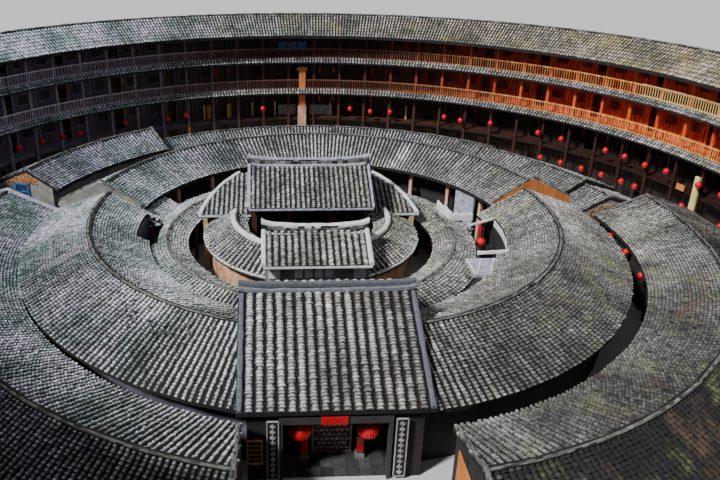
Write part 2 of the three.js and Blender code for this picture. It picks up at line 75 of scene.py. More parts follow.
# Plan
RING2_NEAR_FROM = {"left": 77, "right": 82.5}
RING2_NEAR_X = {"left": 0.9, "right": 0.0}
RING2_GATE = (4.5, -0.4)  # half width and middle of the gap between the near sections
RING2_RAISED_SPAN = (-72, -37.5)
RING2_RIGHT_SPAN = (43, 70)
RING2_MIDDLE_SPAN = (RING2_RAISED_SPAN[1], RING2_RIGHT_SPAN[0])
RING2_LOW_END = 77.5
RING2_WALLS = (20.9, 25.6)
RING3_STEP = 78
HALLS_X = -0.8
GATE_HALF, FRONT_HALF, BACK_HALF = 4.35, 3.3, 4.25  # half widths of the halls' roofs
GATE_HALL_SIDE = 3.9
GATE_HALL_FACE = -18.95
FRONT_HALL_SIDE = 3.1
FRONT_HALL_FACE = -6.5
BACK_HALL_SIDE = 4.0
WELLS = ((-97, -80, 11.1, 12.45), (85, 110, 10.3, 12.2))  # azimuths and radii of the light wells

# Patches of painted light and shade on the tiles, as (x, y, size, amount): paler where a slope or streak is
# lit, and darker as painted shade where the amount is below 0
LIGHT_AND_SHADE_PATCHES = ((-10.2, -4.9, 1.6, 0.3), (-8.9, -7.2, 1.6, 0.4), (-7.0, -8.6, 1.4, 0.45),
            (-9.2, -12.3, 1.7, 0.32), (6.8, 11.2, 0.5, 0.8), (7.4, 11.9, 0.5, 0.8), (7.9, 12.6, 0.5, 0.8),
            (8.4, 13.2, 0.5, 0.7),
            (12.0, -23.5, 6.5, -0.55), (19.0, -16.0, 6.0, -0.5), (25.5, -8.0, 6.0, -0.25),
            (8.5, -15.5, 4.5, -0.3), (14.5, -9.5, 5.0, -0.25), (-15.5, -6.0, 3.5, -0.3),
            (-5.0, -15.5, 3.0, 0.2), (-24.0, -6.0, 5.0, -0.15), (-13.5, -4.0, 4.5, 0.25),
            (-12.5, 5.0, 5.0, 0.2), (-26.0, 24.0, 12.0, 0.3), (1.0, 16.0, 9.0, 0.14),
            (-20.5, 10.0, 5.0, -0.25), (0.0, 37.0, 10.0, -0.12))

GABLE_RISE = 0.35  # how far ring 3's gables stand above the higher roof

# Painted light and shade on each tile: how much paler its lower end, crest and lip are, as painted
# highlights, and how much darker its flanks and upper end are, as painted shade, with dirt on the upper end
EDGE_TONE, FLANK_TONE, LIP_TONE = 0.28, 0.7, 0.3

# How deep a cover tile's flanks lie, and how far tiles stray
SINK, STRAY = 0.03, 0.011

# Outer ring
STOREYS = (0.0, 3.15, 6.3, 9.6)
FRONT_DISTANCE = 32.7
BAYS = 36
RAIL_RADIUS = 31.05
RAIL_HEIGHT = 1.05
SKIRT = ((30.4, -0.32), (31.1, 0.12))


def add(name, data):
    """A new object in the scene."""
    made = bpy.data.objects.new(name, data)
    bpy.context.collection.objects.link(made)
    return made


# Camera

def make_camera():
    yaw, pitch, roll = (math.radians(a) for a in (YAW, PITCH, ROLL))
    data = bpy.data.cameras.new("camera")
    data.sensor_width = SENSOR_MM
    data.lens = FOCAL_PX / FRAME_PX * SENSOR_MM
    data.clip_start = NEAREST * SCALE
    data.clip_end = 500
    data.shift_x, data.shift_y = (px / FRAME_PX for px in SHIFT_PX)
    camera = add("camera", data)
    place = Matrix.Translation(Vector(EYE) * SCALE)
    for angle, axis in ((-yaw, "Z"), (math.pi / 2 - pitch, "X"), (roll, "Z")):
        place @= Matrix.Rotation(angle, 4, axis)
    camera.matrix_world = place
    bpy.context.scene.camera = camera


make_camera()


# Meshes, from shapes of (vertices, quads, tones), where a tone is the lightness of a face or of each corner

def build(name, shapes, material, smooth=False):
    vertices, quads, tones = join(shapes)
    used, quads = np.unique(quads, return_inverse=True)
    quads = quads.reshape(-1, 4)
    mesh = bpy.data.meshes.new(name)
    mesh.vertices.add(len(used))
    mesh.vertices.foreach_set("co", (vertices[used] * SCALE).astype(np.float32).ravel())
    mesh.loops.add(quads.size)
    mesh.loops.foreach_set("vertex_index", quads.astype(np.int32).ravel())
    mesh.polygons.add(len(quads))
    mesh.polygons.foreach_set("loop_start", np.arange(0, quads.size, 4, dtype=np.int32))
    mesh.update(calc_edges=True)
    by_corner = mesh.attributes.new("tone", "FLOAT", "CORNER")
    by_corner.data.foreach_set("value", tones.astype(np.float32).ravel())
    mesh.validate()
    mesh.polygons.foreach_set("use_smooth", np.full(len(mesh.polygons), smooth))
    mesh.materials.append(material)
    piece = add(name, mesh)
    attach(piece, BODY)
    return piece


def join(shapes):
    vertices, quads, tones = [], [], []
    start = 0
    for points, faces, tone in shapes:
        vertices.append(points)
        quads.append(faces + start)
        tone = np.asarray(tone, float)
        by_corner = tone if tone.ndim == 2 else tone.reshape(-1, 1)
        tones.append(np.broadcast_to(by_corner, (len(faces), 4)))
        start += len(points)
    return np.concatenate(vertices), np.concatenate(quads), np.concatenate(tones)


def moved(shapes, x):
    return [(points + (x, 0, 0), quads, tones) for points, quads, tones in shapes]


def build_hall(name, shapes, material):
    """Builds a piece of the halls, whose middle line lies beside the rings' middle."""
    return build(name, moved(shapes, HALLS_X), material)


def grid_quads(index):
    """Quads between neighbours of the last two axes of an array of vertex numbers."""
    corners = (index[..., :-1, :-1], index[..., :-1, 1:], index[..., 1:, 1:], index[..., 1:, :-1])
    return np.stack(corners, axis=-1).reshape(-1, 4)


def surface(points):
    """Quads over a grid of points."""
    index = np.arange(points[..., 0].size).reshape(points.shape[:2])
    return points.reshape(-1, 3), grid_quads(index), 0.5


def stack(x, y, z):
    return np.stack(np.broadcast_arrays(x, y, z), axis=-1)


def boxes(centres, sizes, turns=0.0, tones=0.5):
    """Boxes at centres, with sizes along their own axes, turned about Z by azimuths in degrees."""
    centres = np.atleast_2d(centres)
    sizes = np.broadcast_to(sizes, centres.shape)
    turns = np.radians(np.broadcast_to(turns, len(centres)))
    signs = np.array([(x, y, z) for z in (-0.5, 0.5) for y in (-0.5, 0.5) for x in (-0.5, 0.5)])
    x, y, z = np.moveaxis(signs * sizes[:, None], -1, 0)
    sin, cos = np.sin(turns)[:, None], np.cos(turns)[:, None]
    points = stack(x * cos + y * sin, y * cos - x * sin, z) + centres[:, None]
    faces = np.array([(0, 2, 3, 1), (4, 5, 7, 6), (0, 1, 5, 4), (2, 6, 7, 3), (0, 4, 6, 2), (1, 3, 7, 5)])
    quads = (faces + 8 * np.arange(len(centres))[:, None, None]).reshape(-1, 4)
    tones = np.repeat(np.broadcast_to(tones, len(centres)), 6)
    return points.reshape(-1, 3), quads, tones


def pair(x, y, z, size, tone=0.5):
    """Two boxes, one as far to the left as the other to the right."""
    return boxes([(-x, y, z), (x, y, z)], size, tones=tone)


def polar(azimuth, radius, z):
    a = np.radians(azimuth)
    return stack(radius * np.sin(a), radius * np.cos(a), z)


def around(azimuths, radius, items, tones=0.5):
    """Boxes repeated at azimuths. Each item is (across, inwards, middle's height, width, depth, height)."""
    items = np.array(items)
    a = np.radians(azimuths)[:, None]
    across, inwards, z = items[:, :3].T
    x = np.sin(a) * (radius - inwards) + np.cos(a) * across
    y = np.cos(a) * (radius - inwards) - np.sin(a) * across
    sizes = np.tile(items[:, 3:], (len(azimuths), 1))
    return boxes(stack(x, y, z).reshape(-1, 3), sizes, np.repeat(azimuths, len(items)), tones)


def swept(outline, azimuths):
    """An outline of (radius, height) points swept round the Z axis."""
    return surface(np.stack([polar(azimuths, radius, height) for radius, height in outline], axis=1))


def ring_wall(radii, heights, azimuths):
    """A wall or board with a rectangular section, swept round the Z axis."""
    (inner, outer), (low, high) = radii, heights
    return swept(((inner, low), (outer, low), (outer, high), (inner, high), (inner, low)), azimuths)


def turned(outline, centre, count=12, ribs=0.0):
    """An outline of (radius, height) points turned about the upright line through a centre."""
    angles = np.linspace(0, 2 * math.pi, count + 1)
    radius, height = np.array(outline).T[..., None]
    radius = radius * (1 + ribs * np.cos(np.arange(count + 1) * math.pi))
    return surface(stack(radius * np.sin(angles), radius * np.cos(angles), height) + centre)


def band(path, width, height, rough=0.0, tones=None):
    """A bar with a rounded top laid along a path of points, of a given width and height above it."""
    ahead = np.gradient(path, axis=0)
    if np.allclose(path[0], path[-1]):
        ahead[0] = ahead[-1] = path[1] - path[-2]
    side = np.stack([ahead[:, 1], -ahead[:, 0]], axis=-1)
    side /= np.maximum(np.linalg.norm(side, axis=1, keepdims=True), 1e-9)
    outline = np.array(((-0.5, -0.3), (-0.5, 0.7), (-0.25, 1.0), (0.25, 1.0), (0.5, 0.7), (0.5, -0.3)))
    count = len(path)
    across = outline[:, 0] * width * (1 + RNG.normal(0, rough, (count, 1)))
    up = outline[:, 1] * height * (1 + RNG.normal(0, 2 * rough, (count, 1)))
    points = np.empty((count, len(outline), 3))
    points[..., :2] = path[:, None, :2] + across[..., None] * side[:, None]
    points[..., 2] = path[:, None, 2] + up
    index = np.arange(count * len(outline)).reshape(count, len(outline))
    ends = index[[0, -1]]
    quads = np.concatenate([grid_quads(index), ends[:, [0, 1, 4, 5]], ends[:, [1, 2, 3, 4]]])
    tones = np.clip(RNG.normal(0.5, 0.26, len(quads)), 0, 1) if tones is None else tones
    return points.reshape(-1, 3), quads, tones


def arc(start, stop, radius, z, step=1.2):
    count = max(2, round(abs(stop - start) / step) + 1)
    return polar(np.linspace(start, stop, count), radius, z)


def line(start, stop, count=12):
    return np.linspace(start, stop, count)


# Slopes and their tiles

def slope(low, high, point):
    """A slope's length, and a function that finds a point from its place along the eave, the distance
    across from there, the distance up the slope and the lift off it."""
    run, rise = np.subtract(high, low)
    length = math.hypot(run, rise)
    along = (run / length, rise / length)
    side = 1 if run > 0 else -1
    normal = (-along[1] * side, along[0] * side)

    def place(start, across, up, lift):
        position, z = (at + a * up + n * lift for at, a, n in zip(low, along, normal))
        return point(start, across, position, z)

    return length, place


def ring_point(azimuth, across, radius, z):
    return polar(azimuth + np.degrees(across / radius), radius, z)


def hall_point(x, across, y, z):
    return stack(x + across, y, z)


def height_at(roof, position):
    return np.interp(position, [p for p, _ in roof], [z for _, z in roof])


def lime_and_painted_light(places):
    """How much lighter as painted light, or below 0 darker as painted shade, the tiles are at places."""
    lighter = np.zeros(places.shape[:-1])
    for x, y, size, amount in LIGHT_AND_SHADE_PATCHES:
        away = np.hypot(places[..., 0] - x, places[..., 1] - y) / size
        lighter += amount * np.exp(-away ** 2)
    return lighter


def tile_rows(face, rows, exposure, width, height, sides=3, keep=None, dim=0.0):
    """Rows of rounded cover tiles, each course lapping over the one below. Light and shade are painted on
    each tile: lower edges, lips and crests are paler as painted highlights, flanks are darker as painted
    shade, and upper ends are darker as dirt and a painted shadow under the lip above. Dim darkens every
    tile as painted shade. An odd number of sides lets quads close the ends at the eave."""
    length, place = face
    courses = max(1, round(length / exposure))
    edges = np.linspace(0, length, courses + 1)
    spans = np.stack([edges[:-1], edges[1:]], axis=1)
    each = (len(rows), courses, 1, 1)
    angles = np.linspace(0, math.pi, sides + 1)
    sizes = 1 + RNG.normal(0, 0.07, each)
    across = -width / 2 * np.cos(angles) * sizes + RNG.normal(0, STRAY, each)
    lap = np.array([[0.045], [0.0]]) * RNG.uniform(0.5, 1.7, each)
    lift = height * np.sin(angles) * sizes + lap - SINK
    up = spans[..., None] + RNG.normal(0, STRAY, each) * np.array([[1.0], [0.0]])
    points = place(rows[:, None, None, None], *np.broadcast_arrays(across, up, lift))
    shape = (len(rows), courses, 2, sides + 1)
    index = np.arange(np.prod(shape)).reshape(shape)
    middle = points.mean(axis=(2, 3))
    kept = np.ones(each[:2], bool) if keep is None else keep(middle)
    tone = RNG.normal(0.4 - dim, 0.05, (len(rows), 1)) + RNG.normal(0, 0.09, each[:2]) + lime_and_painted_light(middle)
    # Painted highlight on each lower end and crest, painted shade on the flanks, and dirt with a painted
    # shadow on the upper end
    wear_and_painted_light = np.array([EDGE_TONE, -EDGE_TONE])[:, None] + FLANK_TONE * (np.sin(angles) - 0.7)
    tone = (tone[:, :, None, None] + wear_and_painted_light).ravel()
    bodies = grid_quads(index).reshape(*each[:2], sides, 4)[kept].reshape(-1, 4)
    laps = np.stack([index[:, 1:, 0], index[:, :-1, 1]], axis=2)
    lips = grid_quads(laps).reshape(len(rows), courses - 1, sides, 4)
    lips = lips[kept[:, 1:] & kept[:, :-1]].reshape(-1, 4)
    eaves = index[:, 0, 0][kept[:, 0]]
    closing = [eaves[:, [k, k + 1, sides - k - 1, sides - k]] for k in range((sides - 1) // 2)]
    ends = np.concatenate([lips, *closing])
    # Lips are paler still, as a painted highlight
    tones = np.clip(np.concatenate([tone[bodies], tone[ends] + LIP_TONE]), 0, 1)
    return points.reshape(-1, 3), np.concatenate([bodies, ends]), tones


def row_azimuths(start, stop, pitch, radius):
    count = max(1, round(math.radians(stop - start) * radius / pitch))
    return start + (np.arange(count) + 0.5) * (stop - start) / count


def row_places(half, pitch):
    count = round(2 * half / pitch)
    return -half + (np.arange(count) + 0.5) * 2 * half / count


# Materials

def new_material(name, roughness=0.9):
    material = bpy.data.materials.new(name)
    material.use_nodes = True
    tree = material.node_tree
    shader = tree.nodes["Principled BSDF"]
    shader.inputs["Roughness"].default_value = roughness
    return material, tree, shader


def grey(tone):
    return (tone,) * 3


def feed(tree, socket, value):
    if isinstance(value, bpy.types.NodeSocket):
        tree.links.new(value, socket)
    else:
        socket.default_value = value


def node(tree, kind, **inputs):
    """A new node and what its inputs get. An underscore in a name stands for a space."""
    made = tree.nodes.new(f"ShaderNode{kind}")
    for name, value in inputs.items():
        feed(tree, made.inputs[name.replace("_", " ")], value)
    return made


def noise(tree, scale, detail=4.0, roughness=0.6, stretch=(1, 1, 1)):
    spread = node(tree, "VectorMath")
    spread.operation = "MULTIPLY"
    feed(tree, spread.inputs[0], node(tree, "TexCoord").outputs["Object"])
    feed(tree, spread.inputs[1], stretch)
    made = node(tree, "TexNoise", Scale=scale, Detail=detail, Roughness=roughness)
    feed(tree, made.inputs["Vector"], spread.outputs["Vector"])
    return made.outputs["Fac"]


def along(tree, axis, low, high):
    """From 0 to 1 between two places of the model along an axis."""
    parts = node(tree, "SeparateXYZ", Vector=node(tree, "TexCoord").outputs["Object"])
    return node(tree, "MapRange", Value=parts.outputs[axis], From_Min=low, From_Max=high).outputs["Result"]


def ramp(tree, value, stops):
    made = node(tree, "ValToRGB", Fac=value)
    elements = made.color_ramp.elements
    while len(elements) < len(stops):
        elements.new(0.5)
    for element, (at, colour) in zip(elements, stops):
        element.position = at
        element.color = (*colour, 1)
    return made.outputs["Color"]


def grey_ramp(tree, value, low, high, dark=0.0, pale=1.0):
    return ramp(tree, value, ((low, grey(dark)), (high, grey(pale))))


def mix(tree, factor, first, second, blend="MIX"):
    made = node(tree, "Mix")
    made.data_type = "RGBA"
    made.blend_type = blend
    for socket, value in ((0, factor), (6, first), (7, second)):
        feed(tree, made.inputs[socket], (*value, 1) if isinstance(value, tuple) else value)
    return made.outputs[2]


def times(tree, first, second):
    return mix(tree, 1.0, first, second, "MULTIPLY")


def bump(tree, shader, height, strength, distance):
    made = node(tree, "Bump", Strength=strength, Distance=distance, Height=height)
    tree.links.new(made.outputs["Normal"], shader.inputs["Normal"])


def own_tone(tree):
    """The tone of a face or corner."""
    made = node(tree, "Attribute")
    made.attribute_name = "tone"
    return made.outputs["Fac"]


def clay(name, dark, pale, moss, moss_from=0.6, cool=(0.87, 0.97, 1.08), warm=(1.0, 0.99, 0.95),
         turn=(-10.0, 0.0)):
    """Weathered clay tiles with edges made pale as a painted highlight, soot in patches, and moss and rust
    mostly to the right. They turn from cool to warm between two places along X, a painted cast of bluish
    shade on the left and warm sunlight on the right. The cool cast shifts between teal and violet."""
    material, tree, shader = new_material(name)
    middle = tuple(0.64 * a + 0.36 * b for a, b in zip(dark, pale))
    # The palest stop, for lips and lower edges, is a painted highlight
    edge = tuple(min(1.0, 1.5 * c) for c in pale)
    tone = ramp(tree, own_tone(tree), ((0.0, dark), (0.5, middle), (0.8, pale), (1.0, edge)))
    drift = grey_ramp(tree, noise(tree, 0.6, 3.0), 0.4, 0.6)
    teal, violet = (tuple(np.multiply(cool, tint)) for tint in ((0.86, 1.05, 1.0), (1.08, 0.96, 1.08)))
    # Painted light along X: a cool cast of shade to the left and a warm cast of sunlight to the right
    side = mix(tree, along(tree, "X", *turn), mix(tree, drift, teal, violet), warm)
    soot = grey_ramp(tree, noise(tree, 0.6, 6.0, 0.7), 0.36, 0.64, 0.4, 1.3)
    stained = times(tree, times(tree, tone, side), soot)
    fine = grey_ramp(tree, noise(tree, 14.0, 3.0, 0.8), 0.36, 0.64, 0.5, 1.7)
    specked = times(tree, stained, fine)
    patches = grey_ramp(tree, noise(tree, 0.8, 6.0, 0.7), moss_from, moss_from + 0.14)
    grains = grey_ramp(tree, noise(tree, 16.0, 2.0), 0.4, 0.66, 0.1, 0.8)
    where = grey_ramp(tree, along(tree, "X", -10.0, 6.0), 0.2, 1.0, 0.15)
    growth = times(tree, times(tree, patches, grains), where)
    grown = mix(tree, growth, specked, moss)
    rust = grey_ramp(tree, noise(tree, 0.5, 7.0, 0.75, (1.3, 0.8, 1.0)), 0.56, 0.74, 0.0, 0.7)
    rusted = mix(tree, times(tree, rust, where), grown, (0.15, 0.085, 0.055))
    tree.links.new(rusted, shader.inputs["Base Color"])
    bump(tree, shader, noise(tree, 45.0), 0.6, 0.01)
    return material


def mottled(name, first, second, scale, roughness=0.9, stretch=(1, 1, 1)):
    material, tree, shader = new_material(name, roughness)
    cloud = noise(tree, scale, 6.0, 0.7, stretch)
    tree.links.new(ramp(tree, cloud, ((0.3, first), (0.7, second))), shader.inputs["Base Color"])
    bump(tree, shader, noise(tree, scale * 8, stretch=stretch), 0.4, 0.01)
    return material


def toned(name, first, second, scale=5.0, roughness=0.85):
    """Pieces that each have a lightness of their own, with a fine mottle over them."""
    material, tree, shader = new_material(name, roughness)
    tone = ramp(tree, own_tone(tree), ((0.0, first), (1.0, second)))
    cloud = grey_ramp(tree, noise(tree, scale, 5.0, 0.7), 0.3, 0.7, 0.55, 1.3)
    tree.links.new(times(tree, tone, cloud), shader.inputs["Base Color"])
    bump(tree, shader, noise(tree, scale * 8), 0.4, 0.008)
    return material


def timber(name, shade, red, lit, left_shade=(0.38, 0.34, 0.42)):
    """Old painted timber with upright grain, with light and shade painted in: a bluish painted shade on the
    left, red and orange made bright as painted sunlight in the upper storeys on the right, and painted
    shade below them."""
    material, tree, shader = new_material(name, 0.6)
    grain = noise(tree, 9.0, 5.0, 0.7, (1, 1, 0.12))
    across = along(tree, "X", -19.0, 19.0)
    streaks = grey_ramp(tree, grain, 0.3, 0.7, 0.35, 1.2)
    # The left side's colour is painted shade; the upper storeys on the right carry painted sunlight
    first = ramp(tree, across, ((0.1, left_shade), (0.45, shade)))
    second = ramp(tree, grain, ((0.35, red), (0.65, lit)))
    side = grey_ramp(tree, across, 0.6, 0.86)
    upper = grey_ramp(tree, along(tree, "Z", 0.0, 6.0), 0.44, 0.54)
    painted = mix(tree, times(tree, side, upper), first, second)
    # Painted shade on the lower storeys to the right
    dimmed = mix(tree, upper, (0.45, 0.4, 0.4), grey(1.0))
    shade_low = mix(tree, side, grey(1.0), dimmed)
    wear_and_painted_light = times(tree, painted, streaks)
    tree.links.new(times(tree, wear_and_painted_light, shade_low), shader.inputs["Base Color"])
    bump(tree, shader, noise(tree, 40.0, 3.0, 0.6, (1, 1, 0.1)), 0.4, 0.006)
    return material


TILE = clay("tile_grey", (0.012, 0.012, 0.013), (0.66, 0.66, 0.64), (0.24, 0.27, 0.09), 0.54)
FAR_TILE = clay("tile_far", (0.022, 0.024, 0.028), (0.56, 0.57, 0.58), (0.34, 0.32, 0.12), 0.6)
MAIN_TILE = clay("tile_main", (0.06, 0.062, 0.066), (0.62, 0.61, 0.6), (0.5, 0.42, 0.12), 0.5,
                 cool=(0.8, 0.94, 1.08), warm=(1.24, 1.03, 0.7), turn=(-14.0, 20.0))
PALE_TILE = clay("tile_limed", grey(0.045), (0.56, 0.55, 0.53), (0.3, 0.29, 0.16), 0.66)
# Near black: painted shade in the gaps between the rows of cover tiles
SHADED_BED = mottled("tile_bed", grey(0.003), grey(0.016), 6.0)
RIDGE = toned("ridge_tiles", grey(0.01), (0.26, 0.26, 0.24), 9.0)
LIME = mottled("lime", (0.5, 0.5, 0.53), (0.97, 0.97, 0.98), 3.5)
LILAC = mottled("lime_weathered", (0.16, 0.16, 0.24), (0.62, 0.62, 0.72), 6.0)
BLUE_GREY = toned("blue_grey_lime", (0.02, 0.022, 0.035), (0.62, 0.65, 0.74), 14.0)
EARTH = mottled("rammed_earth", (0.4, 0.26, 0.13), (0.62, 0.46, 0.26), 0.9, stretch=(1, 1, 3))
PEACH = mottled("peach_render", (0.26, 0.1, 0.06), (0.86, 0.52, 0.28), 3.0)
PLASTER = mottled("old_plaster", (0.1, 0.095, 0.09), (0.4, 0.38, 0.35), 1.6)
# Dark and bluish: painted shade on ring 3's near left walls
BLUISH_WALL = mottled("bluish_plaster", (0.02, 0.02, 0.026), (0.17, 0.16, 0.22), 1.2)
# Near black: painted shade of walls under deep eaves and of the dark rooms behind the windows
SHADED_WALL = mottled("plaster_in_painted_shade", grey(0.006), (0.032, 0.03, 0.029), 1.6)
TIMBER = timber("dark_timber", (0.085, 0.026, 0.012), (0.9, 0.035, 0.012), (1.0, 0.25, 0.055))
BOARD = timber("door_boards", (0.03, 0.014, 0.01), (0.55, 0.018, 0.008), (1.0, 0.15, 0.03),
               (0.2, 0.17, 0.23))
RAIL_WOOD = timber("rail_wood", (0.24, 0.08, 0.055), (1.0, 0.22, 0.05), (1.0, 0.62, 0.17),
                   (0.9, 0.8, 0.95))
PALE_WOOD = mottled("pale_wood", (0.6, 0.44, 0.13), (1.0, 0.88, 0.4), 6.0, stretch=(1, 1, 0.2))
ORANGE = mottled("orange_wood", (0.48, 0.13, 0.03), (0.8, 0.3, 0.08), 4.0, stretch=(1, 1, 0.2))
PORCH_WOOD = mottled("porch_wood", (0.42, 0.15, 0.07), (0.95, 0.62, 0.45), 5.0, stretch=(1, 1, 0.3))
RED = mottled("red_silk", (0.42, 0.003, 0.008), (0.78, 0.012, 0.018), 5.0, 0.38)
LANTERN_RED = toned("lantern_red", (0.55, 0.34, 0.05), (0.72, 0.004, 0.01), 3.0, 0.45)
BLUE = mottled("blue_paint", (0.03, 0.1, 0.3), (0.1, 0.24, 0.55), 5.0, 0.6)
STONE = toned("gable_stone", (0.2, 0.11, 0.06), (0.66, 0.44, 0.28))
BRICK = toned("gable_brick", (0.4, 0.13, 0.04), (0.75, 0.34, 0.12))
GREY_STONE = toned("carved_stone", (0.02, 0.02, 0.022), grey(0.42))
BOARD_PALE = toned("bare_board", grey(0.3), grey(0.6))


# Tiled roofs

SIDES = (("left", -1), ("right", 1))


def on_side(sign, start, stop):
    return (start, stop) if sign > 0 else (-stop, -start)


def ring_tiles(roof, span, pitch, exposure, keep=None, outer_shade=0.0):
    shapes = []
    # The outer slope is darkened by the given amount, as painted shade
    for low, dim in ((roof[0], 0.0), (roof[2], outer_shade)):
        rows = row_azimuths(*span, pitch, (low[0] + roof[1][0]) / 2)
        face = slope(low, roof[1], ring_point)
        shapes.append(tile_rows(face, rows, exposure, pitch * 0.68, pitch * 0.33, keep=keep, dim=dim))
    return shapes


def clear_of_gate(half, x=0.0):
    return lambda middle: ~((np.abs(middle[..., 0] - x) < half) & (middle[..., 1] < 0))


def clear_of_wells(keep, shift=0.0):
    def kept(middle):
        x, y = middle[..., 0] + shift, middle[..., 1]
        radius = np.hypot(x, y)
        azimuth = np.degrees(np.arctan2(x, y))
        clear = keep(middle)
        for start, stop, inner, outer in WELLS:
            clear &= ~((radius > inner) & (radius < outer) & (azimuth > start) & (azimuth < stop))
        return clear

    return kept


def outer_ring_tiles():
    for side, span in (("left", (-180, -60)), ("back", (-60, 60)), ("right", (60, 180))):
        build(f"main_roof_{side}_tiles", ring_tiles(MAIN_ROOF, span, 0.3, 0.47), MAIN_TILE)
    for storey in (2, 3):
        low, high = ((radius, STOREYS[storey] + z) for radius, z in SKIRT)
        rows = row_azimuths(-180, 180, 0.3, low[0])
        tiles = tile_rows(slope(low, high, ring_point), rows, 0.42, 0.22, 0.09)
        build(f"skirt_{storey + 1}_tiles", [tiles], PALE_TILE)


def ring2_tiles():
    # The near sections' outer slopes are darkened as painted shade, more on the right
    for (side, sign), dim in zip(SIDES, (0.1, 0.55)):
        shift = RING2_NEAR_X[side]
        keep = clear_of_gate(RING2_GATE[0], RING2_GATE[1] - shift)
        span = on_side(sign, RING2_NEAR_FROM[side], 180)
        shapes = moved(ring_tiles(RING2_NEAR, span, 0.3, 0.19, keep, dim), shift)
        build(f"ring2_near_{side}_tiles", shapes, TILE)
    build("ring2_raised_left_tiles", ring_tiles(RING2_RAISED, RING2_RAISED_SPAN, 0.3, 0.24), FAR_TILE)
    build("ring2_middle_tiles", ring_tiles(RING2_MIDDLE, RING2_MIDDLE_SPAN, 0.3, 0.26), FAR_TILE)
    right = ring_tiles(RING2_RIGHT, RING2_RIGHT_SPAN, 0.3, 0.24)
    low = ring_tiles(RING2_LOW, (RING2_RIGHT_SPAN[1] + 0.4, RING2_LOW_END), 0.3, 0.24)
    build("ring2_back_right_tiles", right + low, FAR_TILE)


def ring3_tiles():
    keep = clear_of_wells(clear_of_gate(GATE_HALL_SIDE, HALLS_X))
    for side, sign in SIDES:
        span = on_side(sign, RING3_STEP, 180)
        build(f"ring3_near_{side}_tiles", ring_tiles(RING3_NEAR, span, 0.32, 0.18, keep), TILE)
    build("ring3_far_tiles", ring_tiles(RING3_FAR, (-RING3_STEP, RING3_STEP), 0.31, 0.22), FAR_TILE)


def corridor_tiles():
    keep = clear_of_wells(clear_of_gate(GATE_HALL_SIDE), HALLS_X)
    build_hall("corridor_tiles", ring_tiles(CORRIDOR, (-180, 180), 0.29, 0.2, keep), TILE)
    for side, sign in SIDES:
        shapes = ring_tiles(WING, on_side(sign, 78, 180), 0.34, 0.18, clear_of_gate(FRONT_HALL_SIDE))
        build_hall(f"wing_{side}_tiles", shapes, TILE)


def hall_tiles(name, roof, half, pitch, exposure, sides=5):
    rows = row_places(half, pitch)
    sizes = (exposure, pitch * 0.74, pitch * 0.34, sides)
    shapes = [tile_rows(slope(low, roof[1], hall_point), rows, *sizes) for low in (roof[0], roof[2])]
    build_hall(f"{name}_hall_tiles", shapes, TILE)


def inside_wing(sign):
    return lambda middle: ((sign * middle[..., 0] > BACK_HALL_SIDE + 0.15)
                           & (np.hypot(middle[..., 0], middle[..., 1]) < BACK_WING_RADIUS - 0.1))


def back_wing_tiles():
    face = slope(*BACK_WING, hall_point)
    rows = row_places(BACK_WING_RADIUS, 0.34)
    for side, sign in SIDES:
        tiles = tile_rows(face, rows, 0.2, 0.26, 0.11, keep=inside_wing(sign))
        build_hall(f"back_wing_{side}_tiles", [tiles], TILE)


outer_ring_tiles()
ring2_tiles()
ring3_tiles()
corridor_tiles()
hall_tiles("gate", GATE_HALL, GATE_HALF - 0.33, 0.47, 0.17)
hall_tiles("front", FRONT_HALL, FRONT_HALF - 0.28, 0.4, 0.17)
hall_tiles("back", BACK_HALL, BACK_HALF - 0.22, 0.33, 0.19, 3)
back_wing_tiles()


# Ridges and verges

def meets(x, radius):
    """The azimuth on the gate side at which a ring of this radius lies x away from the middle line."""
    return 180 - math.degrees(math.asin(x / radius))


def ridge_arc(roof, start, stop):
    radius, z = roof[1]
    return arc(start, stop, radius, z, step=math.degrees(0.35 / radius))


def over_ridge(low, ridge, out, counts):
    """A path up one slope and down the other."""
    return np.concatenate([line(low, ridge, counts[0]), line(ridge, out, counts[1])[1:]])


def ring_verge(roof, azimuth):
    points = [polar(azimuth, radius, z + lift) for (radius, z), lift in zip(roof, (0.02, 0.1, 0.02))]
    return over_ridge(*points, (14, 14))


def hall_verge(roof, x):
    return over_ridge(*((x, y, z + 0.02) for y, z in roof), (16, 12))


def ring_ridges():
    shapes = []
    for side, sign in SIDES:
        shift = RING2_NEAR_X[side]
        gate = meets(RING2_GATE[0] + sign * (RING2_GATE[1] - shift), RING2_NEAR[1][0])
        near = ridge_arc(RING2_NEAR, *on_side(sign, RING2_NEAR_FROM[side] + 0.1, gate))
        shapes += moved([band(near, 0.16, 0.12, 0.06)], shift)
        hall = meets(GATE_HALL_SIDE + sign * HALLS_X, RING3_NEAR[1][0]) - 0.3
        shapes.append(band(ridge_arc(RING3_NEAR, *on_side(sign, RING3_STEP, hall)), 0.16, 0.12, 0.06))
    for roof, span in ((RING2_RAISED, RING2_RAISED_SPAN), (RING2_MIDDLE, RING2_MIDDLE_SPAN),
                       (RING2_RIGHT, RING2_RIGHT_SPAN), (RING2_LOW, (RING2_RIGHT_SPAN[1], RING2_LOW_END)),
                       (RING3_FAR, (-RING3_STEP, RING3_STEP))):
        shapes.append(band(ridge_arc(roof, *span), 0.18, 0.12, 0.06))
    shapes.append(band(ridge_arc(MAIN_ROOF, -180, 180), 0.34, 0.13, 0.05))
    build("ring_ridges", shapes, RIDGE)
    cut = meets(GATE_HALL_SIDE, CORRIDOR[1][0]) - 0.5
    build_hall("corridor_ridge", [band(ridge_arc(CORRIDOR, -cut, cut), 0.25, 0.1, 0.06)], RIDGE)


